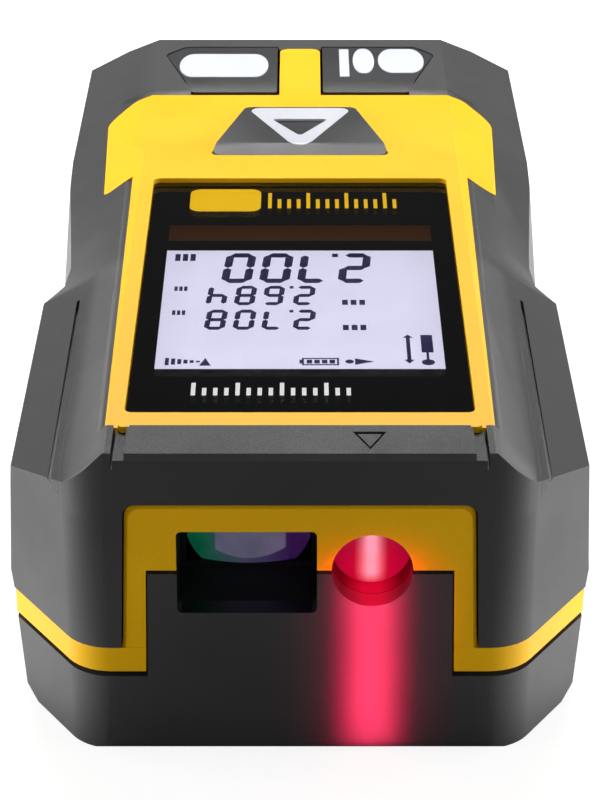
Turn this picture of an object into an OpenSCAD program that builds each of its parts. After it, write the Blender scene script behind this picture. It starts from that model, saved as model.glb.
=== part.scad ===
// Handheld laser distance meter, millimetres.
// +Z is up through the display, -Y is the nose that the laser leaves from,
// +X is to the right when looking at the nose with the display on top.
// The origin is on the underside, in the middle of the outline.

/* [Case] */
// Length from nose to tail
case_l = 115; // [114:0.5:117]
// Width across the belt
case_w = 57.1; // [56.8:0.1:57.4]
// Height of the yellow deck above the underside
deck_z = 32; // [31.8:0.1:32.6]
// Wall thickness of the shells
wall = 2; // [1.8:0.1:2]
// How far the finger waist is cut into each side
waist_depth = 2.2; // [0:0.1:2.4]
// Height of the raised tail pad and nose bar above the deck
pad_rise = 0.4; // [0.2:0.1:0.5]

/* [Nose corners] */
// Half width of the flat front face
corner_front = 20.8; // [20:0.1:21.5]
// Length of each corner facet along the case
corner_len = 11.7; // [10:0.1:12.5]

/* [Parting band] */
// Height of the lower edge of the band
band_low = 8.9; // [8.7:0.1:9.1]
// Height of the upper edge of the band
band_top = 11.6; // [11.2:0.1:11.8]
// How far the band is set back from the shells
band_inset = 0.1; // [0.1:0.05:0.3]

/* [Display] */
// Half width of the window
window_x = 16.7; // [16.5:0.1:16.9]
// Thickness of the window
window_t = 1.2; // [1:0.1:1.3]
// Width of the viewing area of the liquid crystal cell
lcd_w = 28.8; // [28:0.1:29]
// Length of the viewing area of the liquid crystal cell
lcd_l = 29.1; // [28:0.1:29.3]

/* [Keys] */
// Travel of each key
key_travel = 0.7; // [0.4:0.1:0.7]
// Height of the measure button above the deck
button_rise = 0.7; // [0.4:0.1:1]
// Clearance round each key
key_gap = 0.16; // [0.12:0.02:0.2]

/* [Optics] */
// Height of the laser axis
laser_z = 20; // [19.8:0.1:20.1]
// Laser axis, to the right of the middle
laser_x = 6.8; // [6.6:0.1:7]
// Radius of the laser port
laser_port_r = 3.85; // [3.7:0.05:3.9]
// Width of the receiver port
port_w = 13.2; // [12.8:0.1:13.4]
// Height of the receiver port
port_h = 8.8; // [8.4:0.1:9]

/* [Battery] */
// Radius of a cell
cell_r = 5.25; // [5.1:0.05:5.25]
// Length of a cell over its button
cell_l = 44.5; // [44:0.1:44.5]

/* [Hidden] */
$fn = 48;

far = 100;           // reach of a cutting solid that has no size of its own
gap = 0.06;          // parting clearance between fixed pieces
nose = -case_l / 2;
tail = case_l / 2;
half_w = case_w / 2;

// cross-section of the case, from the deck down one side
shoulder_x = 18.2;                 // edge of the flat top
rail_x = 22.2;                     // crease between the rail and the side pad
rail_drop = [3.6, 1.2];            // depth of that crease, nose and tail
edge_in = [0.55, 1.4];             // side pad's outer edge, in from the belt
edge_drop = [6.75, 3.8];           // depth of the outer edge
belt_z = 13.4;                     // where the case is widest
tuck = 0.3;                        // how far the housing draws in above the band
lower_top = 8.3;                  // top edge of the lower shell
seam_z = 8.7;
lower_inset = 0.35;
foot_inset = 1.05;
foot_round = 1.2;
tail_cut = 1.6;                    // chamfer of the tail corners
opening_z = 16;                    // the housing's openings are cut from here up
nose_bevel = [0.35, 0.75];         // top front edge: how far back it starts, how deep it cuts
clear = 1;                         // how far cutting faces stand clear of the form

// heights inside, counted down from the deck
window_low = deck_z - 0.5 - window_t;
gasket_t = 0.3;
ledge_z = window_low - gasket_t;
deck_under = deck_z - 2.9;
lcd_top = deck_z - 2.3;
lcd_t = 1.9;
board_top = deck_z - 6.5;
board_t = 1.2;
board_low = board_top - board_t;
flange_top = deck_under - 0.1;
flange_t = 0.8;

// places along the case, from the nose or the tail
bar_back = nose + 6.1;
window_y = [nose + 9.45, nose + 67.8];
lcd_y = [nose + 20.5, nose + 20.5 + lcd_l];
cell_ledge = 8.4;                  // glass beyond the viewing area
deck_tip_y = nose + 68;
deck_back = tail - 20.1;
rib_end = tail - 4.3;
key_back = tail - 3.7;
key_front = deck_back + 1.6;
key_strip = 13.5;                  // half the width of the gap in front of the tail keys
button_y = [nose + 75.1, nose + 88.9];
lens_y = nose + 9.8;
bay_y = [tail - 55.3, tail - 7];
bay_x = 11.5;
cell_x = 5.55;
cell_z = 7.35;
contact_t = 0.4;
screw_x = 21.1;
screw_y = [nose + 19.5, tail - 13.5];
boss_r = 2.4;
door_x = 12.2;
door_y = tail - 58.5;
door_t = 1.8;
door_gap = 0.15;
rail_reach = 0.95;                 // how far the door's side rails stand out
rail_z = [0.7, 1.25];

// ---------- helpers ----------
function mix(a, b, t) = a + (b - a) * t;
function along(y) = (y - nose) / case_l;
function mirrored(half) =
    concat(half, [for (k = [len(half) - 1:-1:0]) [-half[k].x, half[k].y]]);

// the arc that rounds corner b, between its neighbours a and c
function corner_arc(a, b, c, r, n) =
    r == 0 ? [b] :
    let (
        u = (a - b) / norm(a - b),
        v = (c - b) / norm(c - b),
        half = acos(u * v) / 2,
        centre = b + (u + v) / norm(u + v) * r / sin(half),
        from = b + u * r / tan(half) - centre,
        to = b + v * r / tan(half) - centre,
        a0 = atan2(from.y, from.x),
        turn = atan2(to.y, to.x) - a0,
        sweep = turn > 180 ? turn - 360 : turn < -180 ? turn + 360 : turn
    )
    [for (k = [0:n]) centre + r * [cos(a0 + sweep * k / n), sin(a0 + sweep * k / n)]];
function rounded(points, radii, n = 7) =
    let (m = len(points))
    [for (k = [0:m - 1])
        each corner_arc(points[(k + m - 1) % m], points[k], points[(k + 1) % m], radii[k], n)];

module block(x, y, z) {
    translate([x[0], y[0], z[0]])
        cube([x[1] - x[0], y[1] - y[0], z[1] - z[0]]);
}
module slab(points, z) {
    translate([0, 0, z[0]]) linear_extrude(z[1] - z[0]) polygon(points);
}
module both_sides() {
    children();
    mirror([1, 0, 0]) children();
}
// a round bar along Y, its axis through x and z
module bar_y(r, x, z, y) {
    translate([x, y[0], z]) rotate([-90, 0, 0]) cylinder(r = r, h = y[1] - y[0]);
}
module post(r, x, y, z) {
    translate([x, y, z[0]]) cylinder(r = r, h = z[1] - z[0]);
}

// ---------- outer form ----------
// depth of the finger waist: straight stretches between a few stations
waist_at = [
    [nose + 45.8, 0], [nose + 47.2, 0.3], [nose + 50.0, 0.85], [nose + 54.5, 1],
    [nose + 61.4, 0.75], [nose + 77.0, 0.12], [nose + 84.0, 0]
];
function waist(y) = waist_depth * lookup(y, waist_at);
function rise(y) =
    pad_rise * lookup(y, [[bar_back - 0.1, 1], [bar_back, 0], [deck_back + 0.2, 0], [deck_back + 1.2, 1]]);

// one side of the cross-section at y, moved in by i
function half_section(y, i) =
    let (t = along(y), w = waist(y))
    [
        [shoulder_x - 0.31 * i, deck_z + rise(y) - i],
        [rail_x - 0.59 * i, deck_z - mix(rail_drop[0], rail_drop[1], t) - 0.81 * i],
        [half_w - mix(edge_in[0], edge_in[1], t) - w - 0.98 * i,
            deck_z - mix(edge_drop[0], edge_drop[1], t) - 0.51 * i],
        [half_w - 0.6 * w - i, belt_z],
        [half_w - tuck - 0.55 * w - i, band_top],
        [half_w - lower_inset - 0.5 * w - i, seam_z],
        [half_w - foot_inset - 0.4 * w - i, foot_round + 0.3 * i],
        [half_w - foot_inset - foot_round - 0.4 * w - i, i]
    ];
module loft(stations) {
    rings = [for (s = stations) [for (p = mirrored(half_section(s[0], s[1]))) [p.x, s[0], p.y]]];
    n = len(rings[0]);
    last = len(rings) - 1;
    polyhedron(
        points = [for (ring = rings) each ring],
        faces = concat(
            [[for (k = [0:n - 1]) k]],
            [for (s = [0:last - 1], k = [0:n - 1])
                each let (a = s * n + k, b = s * n + (k + 1) % n)
                [[a, a + n, b], [b, a + n, b + n]]],
            [[for (k = [n - 1:-1:0]) last * n + k]]
        )
    );
}
// outline from above, moved in by i, with faceted corners. Its sides stand clear
// of the loft, which sets the width there.
function plan(i) =
    let (
        facet = atan2(corner_len, half_w - corner_front),
        side = half_w - i + clear,
        tail_in = i * (sqrt(2) - 1)
    )
    rounded(
        mirrored([
            [corner_front - i * tan(facet / 2), nose + i],
            [side, nose + corner_len + i * tan(45 - facet / 2) + clear * tan(facet)],
            [side, tail - tail_cut - tail_in - clear],
            [half_w - tail_cut - tail_in, tail - i]
        ]),
        [5, 0, 0, 2, 2, 0, 0, 5]
    );
// the whole outside of the case, moved in by i
module case_form(i = 0) {
    bevel_start = nose + i + nose_bevel[0];
    nose_end = [
        [nose + i - clear, i + (nose_bevel[0] + clear) * nose_bevel[1] / nose_bevel[0]],
        [bevel_start, i], [bar_back - 0.1, i], [bar_back, i]
    ];
    middle = [for (w = waist_at) [w[0], i]];
    tail_end = [
        [deck_back + 0.2, i], [deck_back + 1.2, i],
        [tail - i - 0.8, i], [tail - i - 0.2, i + 0.3], [tail - i + clear, i + 3]
    ];
    intersection() {
        loft(concat(nose_end, middle, tail_end));
        slab(plan(i), [-clear, deck_z + clear]);
    }
}
// the same, drawn in on all sides for the lower shell, down to the underside
module lower_form() {
    translate([0, 0, -lower_set]) case_form(lower_set);
}
module above(z) { block([-far, far], [-far, far], [z, far]); }
module below(z) { block([-far, far], [-far, far], [-far, z]); }

// ---------- outlines seen from above ----------
tab_x = [16, 17.2];
tab_tip = bar_back - 0.5;
tab_chamfer = 0.4;
// yellow deck: bezel round the window, keypad field and rib, moved in by i
module deck_outline(i = 0) {
    polygon(rounded(mirrored([
        [18.4 - i, bar_back + 0.05 + i],
        [19.3 - i, deck_tip_y + 1.6 + i],
        [22.6 - i, deck_tip_y + i],
        [23.5 - i, deck_back - 4.2],
        [20.2 - i, deck_back - i]
    ]), [0.5, 0, 0.6, 3, 1.5, 1.5, 3, 0.6, 0, 0.5]));
    // tabs that reach into the slots at the ends of the nose bar
    for (side = [-1, 1]) polygon([
        [side * (tab_x[0] + i), bar_back + 1],
        [side * (tab_x[0] + i), tab_tip + i],
        [side * (tab_x[1] - tab_chamfer - i), tab_tip + i],
        [side * (tab_x[1] - i), tab_tip + tab_chamfer + 0.1],
        [side * (tab_x[1] - i), bar_back + 1]
    ]);
    polygon(rounded(mirrored([
        [2.6 - i, deck_back - 2],
        [2.6 - i, rib_end - i]
    ]), [0, 1.2, 1.2, 0]));
}
// right key, moved in by i
function key_points(i) = rounded([
    [2.85 + i, key_front + i],
    [13.6 - i, key_front + i],
    [17.0 - i, key_back - 3 - i],
    [14.6 - i, key_back - i],
    [2.85 + i, key_back - i]
], [0.4, 0.8, 1.4, 1.4, 0.4]);
// measure button, moved in by i
function button_points(i) = rounded(mirrored([
    [10.4 - i, button_y[0] + i],
    [6.6 - i, button_y[1] - i]
]), [0.8, 1, 1, 0.8]);
function window_points(i) = rounded([
    [window_x - 0.05 - i, window_y[0] + i], [window_x - 0.05 - i, window_y[1] - i],
    [-window_x + 0.05 + i, window_y[1] - i], [-window_x + 0.05 + i, window_y[0] + i]
], [0.8, 0.8, 0.8, 0.8]);
view_in = 1.5;                     // ledge that the window sits on

// ---------- shells ----------
surround_x = [17, 16.33];          // half width of the nose surround, bottom and top
surround_top = deck_z - 5;
surround_face = nose + 0.15;
surround_back = nose + 2.4;
surround_bevel = 0.35;
surround_gap = 0.14;
lower_set = 0.15;                  // how far the lower shell is set back
panel_x = [14.75, 14.35];          // half width of its upstand, bottom and top
panel_top = laser_z - 0.35;
panel_gap = [0.14, 0.4];           // gap round the upstand, sides and top
port_x = -5;
port_z = laser_z - 0.2;
// upstand of the lower shell between the surround's legs, moved out by the gap
function panel_points(side, top) = mirrored([
    [panel_x[0] + side, 0.5], [panel_x[1] + side, panel_top + top]
]);
function surround_points(i) = rounded([
    [surround_x[0] - i, band_top - 4], [surround_x[1] - i, surround_top - i],
    [-surround_x[1] + i, surround_top - i], [-surround_x[0] + i, band_top - 4]
], [0, 1.2, 1.2, 0]);
module upright(points, y) {
    translate([0, y[1], 0]) rotate([90, 0, 0]) linear_extrude(y[1] - y[0]) polygon(points);
}
module port_cuts() {
    upright(rounded([
        [port_x - port_w / 2, port_z - port_h / 2], [port_x + port_w / 2, port_z - port_h / 2],
        [port_x + port_w / 2, port_z + port_h / 2], [port_x - port_w / 2, port_z + port_h / 2]
    ], [0.5, 0.5, 0.5, 0.5]), [nose - 1, nose + 5]);
    bar_y(laser_port_r, laser_x, laser_z, [nose - 1, nose + 5]);
}

groove_x = 23.55;
groove_w = 0.35;
groove_end = nose + 42;
aim_y = [nose + 1.2, nose + 4.7];  // tip and flat edge of the aiming mark
aim_w = 3.2;
aim_line = [0.2, 0.5];             // width of its lines, slanted and straight
aim_depth = 0.8;
function aim_points(side, top) =
    let (
        tip = atan2(aim_w / 2, aim_y[1] - aim_y[0]),
        low = aim_y[0] + side / sin(tip),
        high = aim_y[1] - top,
        x = laser_x - 0.3,
        half = (high - low) * tan(tip)
    )
    [[x, low], [x + half, high], [x - half, high]];
slot_x = [16.2, 17.25];            // slots at the ends of the nose bar
slot_gap = 0.2;
valley_x = [18.95, 19.85];         // valley beside the bezel, nose end and tail end
valley_r = 0.75;
module upper_housing() {
    pilot_r = 1.35;
    color([0.17, 0.17, 0.18]) difference() {
        intersection() {
            case_form();
            above(band_top);
        }
        difference() {
            case_form(wall);
            // bosses that take the case screws
            both_sides() for (y = screw_y) post(boss_r, screw_x, y, [band_top + 1.5, far]);
        }
        translate([0, 0, opening_z]) linear_extrude(far) deck_outline();
        both_sides() slab(key_points(-key_gap), [opening_z, far]);
        // the keys' opening runs on to the deck
        slab(mirrored([[key_strip, deck_back - 0.5], [key_strip, key_front + 1]]), [opening_z, far]);
        slab(mirrored([[3.1, deck_back - 0.5], [3.1, key_back - 1]]), [opening_z, far]);
        upright(surround_points(-surround_gap), [nose - 1, nose + wall + 1]);
        both_sides() for (y = screw_y) post(pilot_r, screw_x, y, [0, band_top + 9.5]);
        // groove between the rail and the side pad
        both_sides() block([groove_x - groove_w / 2, groove_x + groove_w / 2],
            [nose - 1, groove_end], [deck_z - 4.6, far]);
        // slots at the ends of the nose bar, each with a deep gap beside the rail
        both_sides() {
            block(slot_x, [nose - 1, bar_back + 1], [deck_z - 0.2, far]);
            block([slot_x[1], slot_x[1] + slot_gap], [nose - 1, bar_back + 0.5], [deck_z - 1.1, far]);
        }
        // the rail's inner side falls away towards the bezel
        both_sides() translate([valley_x[0], bar_back + 0.6, deck_z - 0.2])
            rotate([-90, 0, -atan2(valley_x[1] - valley_x[0], deck_tip_y - bar_back)])
                cylinder(r = valley_r, h = deck_tip_y + 2 - bar_back);
        // aiming mark over the laser, pointing at the target
        difference() {
            slab(aim_points(0, 0), [deck_z + pad_rise - aim_depth, far]);
            slab(aim_points(aim_line[0], aim_line[1]), [0, far]);
        }
    }
}

module keypad_deck() {
    color([0.98, 0.76, 0.08]) difference() {
        union() {
            intersection() {
                difference() {
                    case_form();
                    case_form(deck_z - deck_under);
                }
                translate([0, 0, opening_z]) linear_extrude(far) deck_outline(gap);
            }
            // bosses that the board is screwed to
            for (p = screw_holes) post(2.2, p.x, p.y, [board_top, deck_under + 0.4]);
        }
        for (p = screw_holes) post(1.05, p.x, p.y, [0, deck_under - 0.6]);
        slab(window_points(-0.05), [ledge_z, far]);
        slab(window_points(view_in), [deck_under - 0.01, far]);
        slab(button_points(-key_gap), [0, far]);
    }
}

module nose_band() {
    color([0.98, 0.76, 0.08]) difference() {
        union() {
            intersection() {
                difference() {
                    case_form(band_inset);
                    case_form(band_inset + wall);
                }
                block([-far, far], [-far, far], [band_low, band_top - gap]);
            }
            intersection() {
                hull() {
                    upright(surround_points(surround_bevel), [surround_face, surround_back]);
                    upright(surround_points(0), [surround_face + surround_bevel, surround_back]);
                }
                above(band_low);
            }
        }
        // room for the upstand of the lower shell
        upright(panel_points(panel_gap[0], panel_gap[1]), [nose - 1, nose + 4]);
        port_cuts();
    }
}

module lower_shell() {
    bay_top = cell_z + cell_r + 0.6;
    skin = 1;
    bay_out = bay_x + skin;
    head_r = 2.5;
    head_z = 3;
    color([0.13, 0.13, 0.14]) difference() {
        union() {
            difference() {
                intersection() {
                    lower_form();
                    below(lower_top);
                }
                case_form(wall);
            }
            // upstand that closes the nose inside the yellow surround
            intersection() {
                upright(panel_points(0, 0), [nose, surround_back]);
                slab(plan(lower_set), [0, far]);
            }
            // battery bay
            block([-bay_out, bay_out], [bay_y[0] - skin, bay_y[1] + skin], [0.5, bay_top + skin]);
            both_sides() for (y = screw_y) post(boss_r + 0.6, screw_x, y, [0.5, band_top + 1.4]);
        }
        block([-bay_x, bay_x], bay_y, [-1, bay_top]);
        // doorway, its side grooves, and its mouth in the tail
        block([-door_x - door_gap, door_x + door_gap], [door_y - 0.1, tail + 1], [-1, door_t + door_gap]);
        block([-door_x - rail_reach - door_gap, door_x + rail_reach + door_gap],
            [door_y - 0.1, tail + 1], [rail_z[0] - 0.1, rail_z[1] + 0.1]);
        block([-door_x - door_gap, door_x + door_gap], [tail - wall - 0.6, tail + 1], [-1, lower_top + 1]);
        // the contact strips rise to the board through these slots
        both_sides() for (y = [bay_y[0], bay_y[1] - contact_t])
            block([cell_x - 1.1, cell_x + 1.1], [y - 0.05, y + contact_t + 0.05], [cell_z, far]);
        both_sides() for (y = screw_y) {
            post(1.6, screw_x, y, [-1, far]);
            post(head_r, screw_x, y, [-1, head_z]);
        }
        // pocket for the rating plate
        slab(plate_points(-0.05), [-1, plate_t + 0.05]);
        port_cuts();
    }
}

module housing_seal() {
    color([0.03, 0.03, 0.03]) intersection() {
        difference() {
            case_form(0.9);
            case_form(wall - 0.2);
            block([-panel_x[0] - 0.2, panel_x[0] + 0.2], [nose - 1, nose + 4], [0, far]);
        }
        block([-far, far], [-far, far], [lower_top + 0.02, band_low - 0.02]);
    }
}

grip_ribs = 5;
module battery_door() {
    lip_t = 1.7;
    color([0.15, 0.15, 0.16]) difference() {
        union() {
            block([-door_x, door_x], [door_y, tail - 3], [0, door_t]);
            block([-door_x - rail_reach, door_x + rail_reach], [door_y + 0.2, tail - 4], rail_z);
            // end lip that closes the tail
            intersection() {
                block([-door_x, door_x], [tail - lip_t, tail + 1], [0, lower_top - 0.1]);
                lower_form();
            }
            intersection() {
                block([-door_x, door_x], [tail - 4, tail - lip_t + 0.5], [0, door_t]);
                lower_form();
            }
        }
        // thumb grooves on the underside
        for (k = [0:grip_ribs - 1])
            translate([-6, tail - 13 - 1.8 * k, -0.6]) rotate([0, 90, 0])
                cylinder(r = 1, h = 12);
    }
}

plate_t = 0.2;
function plate_points(i) = rounded([
    [15 - i, nose + 14 + i], [15 - i, nose + 36 - i], [-15 + i, nose + 36 - i], [-15 + i, nose + 14 + i]
], [1.5, 1.5, 1.5, 1.5]);
module rating_plate() {
    color([0.7, 0.7, 0.68]) slab(plate_points(0), [0.05, 0.05 + plate_t]);
}

// ---------- display ----------
mask_t = 0.12;
strip_y = [lcd_y[1] + 2.4, lcd_y[1] + 6.9];
module display_window() {
    color([0.05, 0.05, 0.05, 0.6]) slab(window_points(0), [window_low + mask_t, window_low + window_t]);
}
module display_mask() {
    color([0.01, 0.01, 0.01]) difference() {
        slab(window_points(0), [window_low, window_low + mask_t - 0.01]);
        block([-lcd_w / 2, lcd_w / 2], lcd_y, [0, far]);
        block([-lcd_w / 2, lcd_w / 2], strip_y, [0, far]);
    }
}
module window_gasket() {
    color([0.05, 0.05, 0.05]) difference() {
        slab(window_points(0.1), [ledge_z, ledge_z + gasket_t - 0.01]);
        slab(window_points(view_in - 0.2), [0, far]);
    }
}
cell_edge = 0.6;                   // glass beyond each side of the viewing area
module lcd_glass() {
    color([0.85, 0.84, 0.98])
        block([-lcd_w / 2 - cell_edge, lcd_w / 2 + cell_edge], [lcd_y[0] - 1.5, lcd_y[1] + cell_ledge],
            [lcd_top - lcd_t, lcd_top]);
}
module lcd_backlight() {
    color([0.93, 0.93, 1]) difference() {
        block([-lcd_w / 2, lcd_w / 2], [lcd_y[0] - 1, lcd_y[1] + 1],
            [board_top + 0.7, lcd_top - lcd_t - 0.1]);
        // recesses for the two lamps at its end
        both_sides() block([5, 8], [lcd_y[0] - 2, lcd_y[0] - 0.2], [board_top, board_top + 1.4]);
    }
}
holder_x = lcd_w / 2 + 2;
module lcd_holder() {
    color([0.9, 0.9, 0.9]) difference() {
        block([-holder_x, holder_x], [lcd_y[0] - 3, lcd_y[1] + cell_ledge + 1.5],
            [board_top, lcd_top - 0.7]);
        block([-lcd_w / 2 - cell_edge - 0.1, lcd_w / 2 + cell_edge + 0.1],
            [lcd_y[0] - 1.6, lcd_y[1] + cell_ledge + 0.1], [lcd_top - lcd_t, far]);
        block([-lcd_w / 2 - 0.1, lcd_w / 2 + 0.1], [lcd_y[0] - 1.1, lcd_y[1] + 1.1],
            [board_top + 0.7, far]);
        block([-13.1, 13.1], [lcd_y[1] + 3.4, lcd_y[1] + 5.6], [0, far]);
    }
}
module lcd_connector() {
    layers = 13;
    pitch = 2;
    color([0.9, 0.5, 0.55]) for (k = [0:layers - 1])
        translate([-13 + k * pitch, lcd_y[1] + 3.5, board_top])
            cube([pitch - 0.02, 2, lcd_top - lcd_t - board_top]);
}

// ---------- keys ----------
module measure_button() {
    top = deck_z + button_rise;
    color([0.2, 0.2, 0.21]) difference() {
        union() {
            slab(button_points(0), [flange_top - 0.01, top]);
            slab(button_points(-0.7), [flange_top - flange_t, flange_top]);
        }
        button_bevel();
        slab(mark_outer(0.02), [top - mark_depth, far]);
    }
}
// long bevel along the button's edge nearest the nose
module button_bevel() {
    bevel_l = 2.1;
    translate([-far / 2, button_y[0], deck_z - 0.05])
        rotate([atan2(button_rise + 0.05, bevel_l), 0, 0])
            translate([0, -1, 0]) cube([far, 5, 5]);
}
mark_depth = 0.35;
mark_y = [button_y[0] - 0.6, button_y[1] - 0.35];
mark_x = 6.4;
core_y = [button_y[0] + 4.3, button_y[1] - 4];
core_x = 3.4;
// white arrowhead, moved out by o
function mark_outer(o = 0) = rounded([
    [0, mark_y[0] - o * 2], [mark_x + o * 1.6, mark_y[1] + o], [-mark_x - o * 1.6, mark_y[1] + o]
], [1.6, 1, 1]);
module measure_button_mark() {
    top = deck_z + button_rise;
    color([0.95, 0.95, 0.97]) difference() {
        slab(mark_outer(), [top - mark_depth + 0.02, top]);
        button_bevel();
        // its dark core is left open
        slab(rounded([[0, core_y[0]], [core_x, core_y[1]], [-core_x, core_y[1]]], [0.4, 0.3, 0.3]),
            [0, far]);
    }
}
key_top = deck_z + pad_rise - 0.05;
lip = [2.9, 0.6];                  // sloping front lip of a tail key: how long, how deep
module key_blank() {
    difference() {
        union() {
            slab(key_points(0), [flange_top - 0.01, key_top]);
            intersection() {
                slab(key_points(-0.5), [flange_top - flange_t, flange_top]);
                block([2.95, far], [key_front - 0.3, far], [0, far]);
            }
        }
        translate([0, key_front, key_top - lip[1]]) rotate([atan2(lip[1], lip[0]), 0, 0])
            translate([0, -1, 0]) cube([far, 5, 5]);
    }
}
legend_t = 0.12;
// oblong whose ends are half ellipses with centres x[0] and x[1] and radii r
function oblong(x, y, r, n = 20) = [
    for (k = [0:n]) let (a = 180 * k / n - 90) [x[1] + r.x * cos(a), y + r.y * sin(a)],
    for (k = [0:n]) let (a = 180 * k / n + 90) [x[0] + r.x * cos(a), y + r.y * sin(a)]
];
module left_key() {
    color([0.2, 0.2, 0.21]) mirror([1, 0, 0]) key_blank();
}
module right_key() {
    color([0.2, 0.2, 0.21]) key_blank();
}
legend_z = [key_top, key_top + legend_t];
module left_key_mark() {
    color([0.95, 0.95, 0.97]) slab(oblong([-13.4, -5.8], key_front + 7.8, [1.8, 4.2]), legend_z);
}
module right_key_mark() {
    color([0.95, 0.95, 0.97]) {
        slab(oblong([11.7, 13.9], key_front + 9.5, [1.8, 4.4]), legend_z);
        slab(oblong([7.9, 8.2], key_front + 9.5, [1.2, 4.5]), legend_z);
        block([5, 6.2], [key_front + 3.7, key_front + 13.8], legend_z);
    }
}
pad_at = [[0, (button_y[0] + button_y[1]) / 2], [-8.4, key_front + 8], [8.4, key_front + 8]];
mat_t = 0.9;
module keypad_mat() {
    pad_r = 2.6;
    pad_top = flange_top - flange_t - key_travel - 0.1;
    color([0.32, 0.33, 0.36]) difference() {
        union() {
            block([-17.5, 17.5], [button_y[0] - 2, key_back - 1], [board_top, board_top + mat_t]);
            for (p = pad_at) post(pad_r, p.x, p.y, [board_top + mat_t - 0.1, pad_top]);
        }
        for (p = pad_at) post(3.6, p.x, p.y, [0, board_top + 0.5]);
        for (p = screw_holes) post(2.3, p.x, p.y, [0, far]);
    }
}
module dome_switches() {
    dome_r = 3.2;
    color([0.75, 0.72, 0.65]) for (p = pad_at)
        translate([p.x, p.y, board_top]) cylinder(r1 = dome_r, r2 = 1.6, h = 0.4);
}

// ---------- electronics ----------
board_x = 18;
board_hole_x = 15.7;
board_y = [nose + 13.6, tail - 6];
board_hole_y = [nose + 62.2, deck_back - 3.2];
screw_holes = [for (y = board_hole_y, x = [-board_hole_x, board_hole_x]) [x, y]];
module main_board() {
    color([0.05, 0.33, 0.18]) difference() {
        block([-board_x, board_x], board_y, [board_low, board_top]);
        for (p = screw_holes) post(1.15, p.x, p.y, [0, far]);
        for (y = [bay_y[0], bay_y[1] - contact_t])
            both_sides() block([cell_x - 1.2, cell_x + 1.2], [y - 0.2, y + contact_t + 0.2], [0, far]);
    }
}
module board_chips() {
    chip_z = [board_low - 1, board_low];
    small_z = [board_low - 0.6, board_low];
    small_y = [nose + 84, nose + 85.6];
    pitch = 1.8;
    color([0.08, 0.08, 0.09]) {
        block([-5, 5], [nose + 70, nose + 80], chip_z);
        block([9, 14], [nose + 66, nose + 70], chip_z);
        block([-14, -10], [nose + 64, nose + 70], chip_z);
        // rows of small parts
        for (k = [0:5]) block([-15 + pitch * k, -14 + pitch * k], small_y, small_z);
        for (k = [0:4]) block([4 + pitch * k, 5 + pitch * k], small_y, small_z);
    }
}
module buzzer() {
    x = -9.5;
    y = nose + 100;
    color([0.1, 0.1, 0.1]) difference() {
        post(4.8, x, y, [board_low - 3.6, board_low]);
        post(0.8, x, y, [0, board_low - 2.6]);
    }
}

// ---------- optics ----------
barrel_r = [4.6, 4.1];              // front sleeve and body of the laser barrel
barrel_y = [nose + 2.5, nose + 18.5];
barrel_step_y = nose + 9.9;        // where the front sleeve ends
chassis_y = [nose + 10.2, nose + 36];
chassis_top = board_low - 0.1;
module optics_chassis() {
    low = laser_z - 6;
    focus_y = chassis_y[1] - 2;
    color([0.3, 0.31, 0.33]) difference() {
        union() {
            block([port_x - port_w / 2 - 1.6, laser_x + 6], chassis_y, [low, chassis_top]);
            both_sides() post(2.6, 15.6, chassis_y[1] - 5, [low, chassis_top]);
            block([-15.6, 15.6], [chassis_y[1] - 7, chassis_y[1] - 3], [low, low + 2.5]);
        }
        // receiver tunnel, stepped down towards the photodiode
        for (k = [0:3])
            block([port_x - port_w / 2 + 1.3 * k, port_x + port_w / 2 - 1.3 * k],
                [chassis_y[0] - 1, mix(chassis_y[0] + 4, focus_y, k / 3)],
                [port_z - port_h / 2 + 0.8 * k + 0.2, port_z + port_h / 2 - 0.8 * k - 0.4]);
        bar_y(2.9, port_x, port_z, [chassis_y[0], chassis_y[1] + 1]);
        bar_y(barrel_r[1] + 0.05, laser_x, laser_z, [chassis_y[0] - 1, barrel_y[1] + 2]);
        bar_y(2.6, laser_x, laser_z, [chassis_y[0], chassis_y[1] + 1]);
    }
}
module receiver_hood() {
    color([0.03, 0.03, 0.03]) difference() {
        block([port_x - port_w / 2 - 0.8, port_x + port_w / 2 + 0.4],
            [surround_back + 0.1, chassis_y[0] - 0.1],
            [port_z - port_h / 2 - 0.9, port_z + port_h / 2 + 0.9]);
        block([port_x - port_w / 2 - 0.05, port_x + port_w / 2 + 0.05],
            [nose, lens_y - 0.5], [port_z - port_h / 2 - 0.1, port_z + port_h / 2 + 0.1]);
        block([port_x - port_w / 2 + 0.5, port_x + port_w / 2 - 0.5],
            [nose, chassis_y[0] + 1], [port_z - port_h / 2 + 0.1, port_z + port_h / 2 - 0.5]);
    }
}
module receiver_lens() {
    bulge_r = 13;
    x = [port_x - port_w / 2 + 0.6, port_x + port_w / 2 - 0.6];
    z = [port_z - port_h / 2 + 0.2, port_z + port_h / 2 - 0.6];
    color([0.35, 0.6, 0.55, 0.6]) intersection() {
        block(x, [lens_y - 1.3, lens_y + 3.2], z);
        translate([port_x, lens_y - 1.3 + bulge_r, port_z]) sphere(r = bulge_r, $fn = 96);
    }
}
module photodiode() {
    color([0.75, 0.72, 0.6]) {
        bar_y(2.7, port_x, port_z, [chassis_y[1] - 1.9, chassis_y[1] + 0.3]);
    }
}
receiver_board_y = chassis_y[1] + 0.3;
module receiver_board() {
    color([0.05, 0.33, 0.18])
        block([port_x - 6.5, port_x + 6.5], [receiver_board_y, receiver_board_y + 1],
            [port_z - 5.5, chassis_top - 0.3]);
}
module receiver_shield() {
    color([0.7, 0.7, 0.72]) difference() {
        block([port_x - 5.5, port_x + 5.5], [receiver_board_y + 1, receiver_board_y + 4],
            [port_z - 4.5, port_z + 2]);
        block([port_x - 5.2, port_x + 5.2], [receiver_board_y, receiver_board_y + 3.7],
            [port_z - 4.2, port_z + 1.7]);
    }
}
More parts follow.
